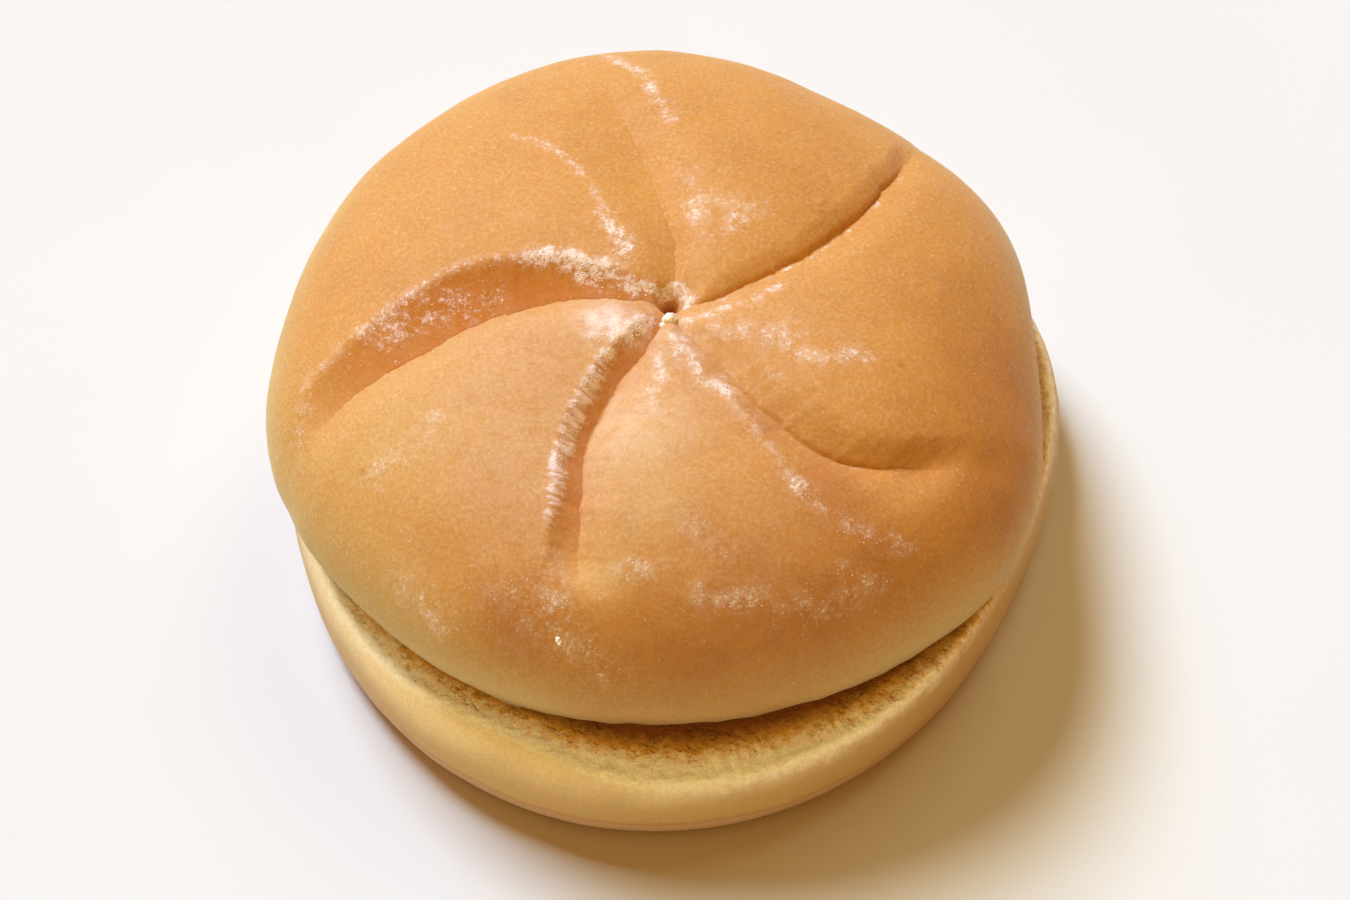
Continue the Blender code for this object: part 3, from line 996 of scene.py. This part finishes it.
def heel_crust(colours):
    """Pale crust of the heel and the crumb that the cut laid open: dry, matt and open-pored on
    the cut face, smooth on the side, and duller where it lay on the baking tray."""
    material, tree, place = new_material("pale_crust_and_crumb")
    masks = read_masks(tree, ("side_shade", "under", "inward"))
    level = add(tree, "Math", add(tree, "SeparateXYZ", place, output="Z"), 1 / MM, **TIMES)
    patches = add(tree, "TexNoise", place, per_metre(SIDE_PATCH), 3.0)
    mottle = add(tree, "TexNoise", place, per_metre(SIDE_MOTTLE), 3.0)
    grain = add(tree, "TexNoise", place, per_metre(CRUMB_GRAIN), 2.0, 0.6)

    pale_side = add(tree, "MapRange", mottle, 0.3, 0.7, 0.0, 0.35, **EASED)
    # Paler towards the cut edge: partly the crust's own paler top, partly painted light; less on
    # the side in the crown's shadow, more on the other
    paler = weighed(tree, level, (masks["side_shade"], -1.6), (patches, 3.0))
    paler = add(tree, "MapRange", paler, 10.0, 16.0, **EASED)
    # The base's duller band ends in an uneven line, with a thin darker edge.
    band_top = weighed(tree, 4.2, (patches, 1.8))
    above = add(tree, "Math", level, band_top, operation="SUBTRACT")
    band = add(tree, "MapRange", above, 0.9, -0.5, **EASED)
    band_edge = add(tree, "Math", above, operation="ABSOLUTE")
    band_edge = add(tree, "MapRange", band_edge, 0.0, 0.6, 0.45, 0.0, **EASED)
    # Painted shade: browner crust on the side in the crown's shadow
    side_shade = add(tree, "Math", masks["side_shade"], 0.0, **LARGER)
    side_shade = add(tree, "Math", side_shade, 0.42, **TIMES)
    side = painted(
        tree,
        colours.heel,
        (pale_side, colours.rim),
        (paler, colours.lip),
        (band, colours.base),
        (side_shade, colours.shaded_heel),
        (band_edge, colours.crease),
    )

    # Pores of 0.3 to 1 mm: round cells whose middles are dark, painted shade in the hollows
    pore = add(tree, "TexVoronoi", place, per_metre(LARGE_PORE))
    pore = add(tree, "MapRange", pore, 0.15, 0.45, 1.0, 0.0, **EASED)
    small = add(tree, "TexVoronoi", place, per_metre(SMALL_PORE))
    small = add(tree, "MapRange", small, 0.1, 0.4, 0.7, 0.0, **EASED)
    pore = add(tree, "Math", pore, small, **LARGER)
    pore = guided(tree, pore, mottle, 0.35, 0.6, 0.0, 1.0)
    crumbly = add(tree, "TexNoise", place, per_metre(CRUMB_CLOT), 3.0, 0.6)
    # Painted shade under the crown: the crumb and its pores darken the further in under the crown's
    # edge they lie
    under = weighed(tree, masks["under"], (crumbly, 1.9), (mottle, 1.4))
    pore = guided(tree, pore, under, 1.5, 4.0, 0.15, 1.0)
    inside = add(tree, "MapRange", under, 1.7, 5.6, **EASED)
    soft = add(tree, "MapRange", crumbly, 0.4, 0.7, 0.0, 0.3, **EASED)
    soft = guided(tree, soft, under, 1.0, 3.5, 0.2, 1.0)
    deep = add(tree, "Math", add(tree, "Math", pore, 0.5, **TIMES), inside, **LARGER)
    deep = add(tree, "Math", deep, soft, operation="ADD")
    inner = add(tree, "MapRange", under, 3.5, 7.2, **EASED)
    crumb = painted(tree, colours.crumb, (deep, colours.shaded_and_mottled_crumb), (inner, colours.crumb_shadow))
    # The cut's torn edge: the crumb ends in a ragged line over the lip.
    cut = weighed(tree, masks["inward"], (mottle, 1.2))
    cut = add(tree, "MapRange", cut, -0.1, 1.1, **EASED)
    shade = add(tree, "MapRange", grain, 0.3, 0.7, 0.94, 1.05, **EASED)
    colour = add(tree, "Mix", 1.0, painted(tree, side, (cut, crumb)), shade, **SHADED)

    rough_crumb = weighed(tree, 0.0, (grain, 0.2), (pore, -0.22))
    smooth_side = weighed(tree, 0.0, (grain, 0.02), (mottle, 0.06))
    height = add(tree, "Mix", cut, smooth_side, rough_crumb)
    shader = add(
        tree,
        "BsdfPrincipled",
        sockets={
            "Base Color": colour,
            "Roughness": add(tree, "Mix", cut, 0.5, 0.9),
            "Normal": add(tree, "Bump", sockets={"Height": height, "Distance": MM}),
            "IOR": 1.4,
            "Subsurface Weight": 0.3,
            "Subsurface Radius": (1.0, 0.6, 0.25),
            "Subsurface Scale": 2.0 * MM,
        },
    )
    add(tree, "OutputMaterial", shader)
    return material


def dull_material(name, colour, size, darkest, roughness, ior):
    """A dull material of one colour, a little darker in clouds of this size."""
    material, tree, place = new_material(name)
    clouds = add(tree, "TexNoise", place, per_metre(size))
    shade = add(tree, "MapRange", clouds, 0.3, 0.7, darkest, 1.0, **EASED)
    tint = add(tree, "Mix", 1.0, colour, shade, **SHADED)
    looks = {"Base Color": tint, "Roughness": roughness, "IOR": ior}
    add(tree, "OutputMaterial", add(tree, "BsdfPrincipled", sockets=looks))
    return material


def wheat_flour(colours):
    """Wheat flour in small clumps: dull, off-white and a little uneven."""
    return dull_material("wheat_flour", colours.loose, LUMP_SHADE, 0.9, 0.95, 1.3)


def matt_card(colours):
    """Matt card: pale, dull and almost even."""
    return dull_material("matt_card", colours.floor, CARD_SHADE, 0.985, 0.8, 1.5)


def make_crown(sizes, colours):
    points, plain, grid = crown_form(sizes)
    flour_masks(plain, grid)
    bake_and_shade_masks(plain, grid)
    piece = wrapped_sheet("crown_crust", crown_place(points), grid)
    crust = give_group(piece, "crust")
    displace(piece, "crust_lumps", CRUST_LUMP, sizes.crust_lumps, 1, crust)
    displace(piece, "crust_dimples", CRUST_DIMPLE, sizes.crust_lumps * 0.25, 2, crust)
    piece.data.materials.append(crown_crust(colours, sizes))
    return piece


def make_heel(sizes, colours):
    points, grid = heel_form()
    piece = wrapped_sheet("heel_bread", points, grid)
    crumb, crust = give_group(piece, "crumb"), give_group(piece, "crust")
    displace(piece, "crumb_swell", CRUMB_SWELL, sizes.pore_depth * 0.8, 1, crumb)
    displace(piece, "crumb_pores", PORE_RELIEF, sizes.pore_depth, 1, crumb, middle=0.6)
    displace(piece, "side_lumps", SIDE_LUMP, sizes.crust_lumps * 0.6, 1, crust)
    piece.data.materials.append(heel_crust(colours))
    return piece


def grain_form():
    """One small rounded clump: an icosahedron's corners and faces."""
    bpy.ops.object.select_all(action="DESELECT")
    bpy.ops.mesh.primitive_ico_sphere_add(subdivisions=1, radius=0.5)
    grain = bpy.context.object
    corners = np.array([vertex.co for vertex in grain.data.vertices])
    faces = np.array([list(face.vertices) for face in grain.data.polygons])
    mesh = grain.data
    bpy.data.objects.remove(grain)
    bpy.data.meshes.remove(mesh)
    return corners, faces


def surface_samples(piece, count, draws):
    """Random places on a piece's faces, thicker where its flour mask is high: point, normal and
    mask of each."""
    mesh = piece.data
    mesh.calc_loop_triangles()
    corners = np.empty(len(mesh.loop_triangles) * 3, np.int32)
    mesh.loop_triangles.foreach_get("vertices", corners)
    corners = corners.reshape(-1, 3)
    points = np.empty(len(mesh.vertices) * 3, np.float32)
    mesh.vertices.foreach_get("co", points)
    points = points.reshape(-1, 3).astype(float)
    masks = {}
    for name in ("flour", "ribs"):
        masks[name] = np.empty(len(mesh.vertices), np.float32)
        mesh.attributes[name].data.foreach_get("value", masks[name])
    flour = np.maximum(masks["flour"], masks["ribs"])[corners].mean(axis=1)
    a, b, c = points[corners[:, 0]], points[corners[:, 1]], points[corners[:, 2]]
    normal = np.cross(b - a, c - a)
    area = np.linalg.norm(normal, axis=1)
    weight = area * flour**GRAIN_GATHERING
    chosen = draws.choice(len(corners), count, p=weight / weight.sum())
    u, v = np.sort(draws.random((2, count)), axis=0)
    u, v = u[:, None], v[:, None]
    places = a[chosen] * u + b[chosen] * (v - u) + c[chosen] * (1 - v)
    return places, normal[chosen] / area[chosen, None], flour[chosen]


def lay_grains(places, normals, lengths, draws):
    """Copies of one flattened grain, each at its place, turned at random on the surface."""
    corners, faces = grain_form()
    aside = np.cross(normals, draws.normal(size=normals.shape))
    aside /= np.linalg.norm(aside, axis=1)[:, None]
    across = np.cross(normals, aside)
    width = lengths * draws.uniform(0.55, 0.95, len(lengths))
    thick = lengths * draws.uniform(0.25, 0.4, len(lengths))
    shaken = corners[None] * draws.uniform(0.8, 1.2, (len(lengths), len(corners), 1))
    points = (
        places[:, None]
        + shaken[..., 0:1] * (aside * lengths[:, None])[:, None]
        + shaken[..., 1:2] * (across * width[:, None])[:, None]
        + (shaken[..., 2:3] + 0.15) * (normals * thick[:, None])[:, None]
    )
    offsets = np.arange(len(lengths))[:, None, None] * len(corners)
    return points.reshape(-1, 3), (faces[None] + offsets).reshape(-1, 3)


def make_flour(sizes, colours, crown):
    """The larger clumps of flour, as true small bodies that lie on the crust."""
    draws = np.random.default_rng(SEED)
    places, normals, flour = surface_samples(crown, sizes.grain_count, draws)
    large = 0.35 + 0.65 * draws.random(len(flour)) ** 3
    lengths = sizes.grain_length * large * (0.45 + 0.55 * flour)
    piled = sizes.pile * draws.random(len(flour)) * ease(0.6, 1.0, flour)
    points, faces = lay_grains(places + normals * piled[:, None], normals, lengths, draws)
    mesh = bpy.data.meshes.new("flour_grains")
    mesh.from_pydata(points.tolist(), [], faces.tolist())
    piece = bpy.data.objects.new("flour_grains", mesh)
    bpy.context.scene.collection.objects.link(piece)
    mesh.polygons.foreach_set("use_smooth", [True] * len(mesh.polygons))
    mesh.materials.append(wheat_flour(colours))
    return piece


def make_lumps(colours, crown):
    """Caked lumps of flour, each sunk a little into the crust under it."""
    bpy.ops.object.select_all(action="DESELECT")
    lumps = []
    for bearing, percent, length in LUMPS:
        guess = Vector(crown_place(dome_place(percent / 100, np.radians(bearing))) * MM)
        _, place, normal, _ = crown.closest_point_on_mesh(guess)
        bpy.ops.mesh.primitive_ico_sphere_add(subdivisions=4, radius=length / 2 * MM)
        lump = bpy.context.object
        bpy.ops.transform.resize(value=(1, LUMP_WIDTH, LUMP_FLATNESS))
        bpy.ops.object.transform_apply(location=False, rotation=False, scale=True)
        lump.rotation_euler = (normal + Vector(LUMP_TIP)).to_track_quat("Z", "X").to_euler()
        lump.location = place - normal * length * LUMP_SINK * MM
        bpy.ops.object.transform_apply(location=True, rotation=True, scale=False)
        lumps.append(lump)
    for lump in lumps:
        lump.select_set(True)
    bpy.context.view_layer.objects.active = lumps[0]
    bpy.ops.object.join()
    piece = bpy.context.object
    piece.name = piece.data.name = "flour_lumps"
    bpy.ops.object.shade_smooth()
    displace(piece, "lump_knobs", KNOB, KNOB_HEIGHT * MM, 2)
    displace(piece, "lump_grain", KNOB_GRAIN, KNOB_GRAIN_HEIGHT * MM, 1)
    piece.data.materials.append(wheat_flour(colours))
    return piece


class ROLL_OT_add_crown(bpy.types.Operator):
    """Add the domed crown with its star"""

    bl_idname = "roll.add_crown"
    bl_label = "Add Crown"

    def execute(self, context):
        piece = make_crown(context.scene.roll_sizes, context.scene.roll_colours)
        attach(piece, "root")
        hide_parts("crown")
        return {"FINISHED"}


class ROLL_OT_add_heel(bpy.types.Operator):
    """Add the flat heel with its crumb"""

    bl_idname = "roll.add_heel"
    bl_label = "Add Heel"

    def execute(self, context):
        piece = make_heel(context.scene.roll_sizes, context.scene.roll_colours)
        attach(piece, "root")
        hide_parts("heel")
        return {"FINISHED"}


class ROLL_OT_add_flour(bpy.types.Operator):
    """Add the clumps of flour that lie on the crown"""

    bl_idname = "roll.add_flour"
    bl_label = "Add Flour"

    def execute(self, context):
        crown = bpy.data.objects["crown_crust"]
        piece = make_flour(context.scene.roll_sizes, context.scene.roll_colours, crown)
        lumps = make_lumps(context.scene.roll_colours, crown)
        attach(piece, "root")
        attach(lumps, "root")
        return {"FINISHED"}


class ROLL_OT_set_stage(bpy.types.Operator):
    """Set the pale floor, the soft lights and the camera"""

    bl_idname = "roll.set_stage"
    bl_label = "Set Stage"

    def execute(self, context):
        set_floor(context.scene.roll_colours)
        set_lights(context.scene)
        set_camera(context.scene)
        return {"FINISHED"}


# Stage: a pale floor, the camera and far lights
FLOOR_SIZE = 4000.0
CAMERA_AIM = (0.24, -4.23, 20.0)
CAMERA_ELEVATION = 58
CAMERA_DISTANCE = 450
CAMERA_LENS = 84
CAMERA_SENSOR = 36
CAMERA_NEAREST = 10
ROLL = ("heel_bread", "crown_crust", "flour_grains", "flour_lumps")
# Each light's name, bearing, elevation, angle across, strength and colour, and the pieces that
# it falls on: with none named, it falls on everything.
LIGHTS = (
    ("key_low", 122, 39, 22, 1.6, (0.047, 0.31, 1.0), ()),
    ("key_high", 122, 46.5, 22, 2.94, (0.915, 1.0, 0.91), ()),
    ("side_fill", 165, 50, 30, 0.15, (1.0, 1.0, 0.8), ROLL),
    ("back_fill", 60, 50, 30, 0.5, (1.0, 0.97, 0.55), ()),
    ("right_fill", 335, 35, 30, 0.28, (1.0, 0.78, 0.2), ROLL),
    ("front_fill", 235, 42, 40, 0.85, (1.0, 0.94, 0.32), ROLL),
    ("heel_fill", 255, 55, 30, 0.28, (1.0, 0.97, 0.85), ("heel_bread",)),
)
FILL_STRENGTH = 0.3
FILL_COLOUR = (1.0, 0.45, 0.09, 1.0)
ROOM_COLOUR = (0.95, 0.93, 0.9, 1.0)


def set_floor(colours):
    bpy.ops.object.select_all(action="DESELECT")
    bpy.ops.mesh.primitive_plane_add(size=FLOOR_SIZE * MM)
    floor = bpy.context.object
    floor.name = "floor"
    floor.data.materials.append(matt_card(colours))


def add_far_light(name, bearing, elevation, angle, energy, colour, receivers):
    """A far soft light that stands in this direction, and falls only on the receivers if there
    are any. Angles are in degrees."""
    a, e = math.radians(bearing), math.radians(elevation)
    direction = Vector((math.cos(a) * math.cos(e), math.sin(a) * math.cos(e), math.sin(e)))
    turned = direction.to_track_quat("Z", "Y").to_euler()
    bpy.ops.object.light_add(type="SUN", location=direction, rotation=turned)
    light = bpy.context.object
    light.name = name
    light.data.angle = math.radians(angle)
    light.data.energy = energy
    light.data.color = colour
    if receivers:
        light.light_linking.receiver_collection = bpy.data.collections.new(name + "_receivers")
        for piece in receivers:
            light.light_linking.receiver_collection.objects.link(bpy.data.objects[piece])


def set_lights(scene):
    """A broad cool key in two parts, from behind on the left, and warm fills from round about.
    The camera sees a pale room in place of the world's fill."""
    for light in LIGHTS:
        add_far_light(*light)
    world = bpy.data.worlds.new("studio")
    world.use_nodes = True
    tree = world.node_tree
    tree.nodes.clear()
    fill = add(tree, "Background", FILL_COLOUR, FILL_STRENGTH)
    room = add(tree, "Background", ROOM_COLOUR, 1.0)
    add(tree, "OutputWorld", add(tree, "MixShader", add(tree, "LightPath"), fill, room))
    scene.world = world
    scene.view_settings.view_transform = "Standard"


def set_camera(scene):
    e = math.radians(CAMERA_ELEVATION)
    back = Vector((0.0, -math.cos(e), math.sin(e)))
    place = (Vector(CAMERA_AIM) + back * CAMERA_DISTANCE) * MM
    bpy.ops.object.camera_add(location=place, rotation=back.to_track_quat("Z", "Y").to_euler())
    camera = bpy.context.object
    camera.name = "camera"
    camera.data.lens = CAMERA_LENS
    camera.data.sensor_width = CAMERA_SENSOR
    camera.data.clip_start = CAMERA_NEAREST * MM
    scene.camera = camera


class ROLL_PT_panel(bpy.types.Panel):
    """Lists the roll's pieces, sizes and colours"""

    bl_label = "Kaiser Roll"
    bl_idname = "ROLL_PT_panel"
    bl_space_type = "VIEW_3D"
    bl_region_type = "UI"
    bl_category = "Roll"

    def draw(self, context):
        for operator in OPERATORS:
            self.layout.operator(operator.bl_idname)
        for group in (context.scene.roll_sizes, context.scene.roll_colours):
            column = self.layout.column()
            for name in group.bl_rna.properties.keys():
                if name not in ("rna_type", "name"):
                    column.prop(group, name)


OPERATORS = (ROLL_OT_add_heel, ROLL_OT_add_crown, ROLL_OT_add_flour, ROLL_OT_set_stage)
CLASSES = (RollSizes, RollColours, *OPERATORS, ROLL_PT_panel)


def register():
    for one in CLASSES:
        bpy.utils.register_class(one)
    bpy.types.Scene.roll_sizes = bpy.props.PointerProperty(type=RollSizes)
    bpy.types.Scene.roll_colours = bpy.props.PointerProperty(type=RollColours)


def unregister():
    del bpy.types.Scene.roll_sizes
    del bpy.types.Scene.roll_colours
    for one in reversed(CLASSES):
        bpy.utils.unregister_class(one)


def main():
    register()
    bpy.ops.roll.add_heel()
    bpy.ops.roll.add_crown()
    bpy.ops.roll.add_flour()
    bpy.ops.roll.set_stage()


if __name__ == "__main__":
    main()
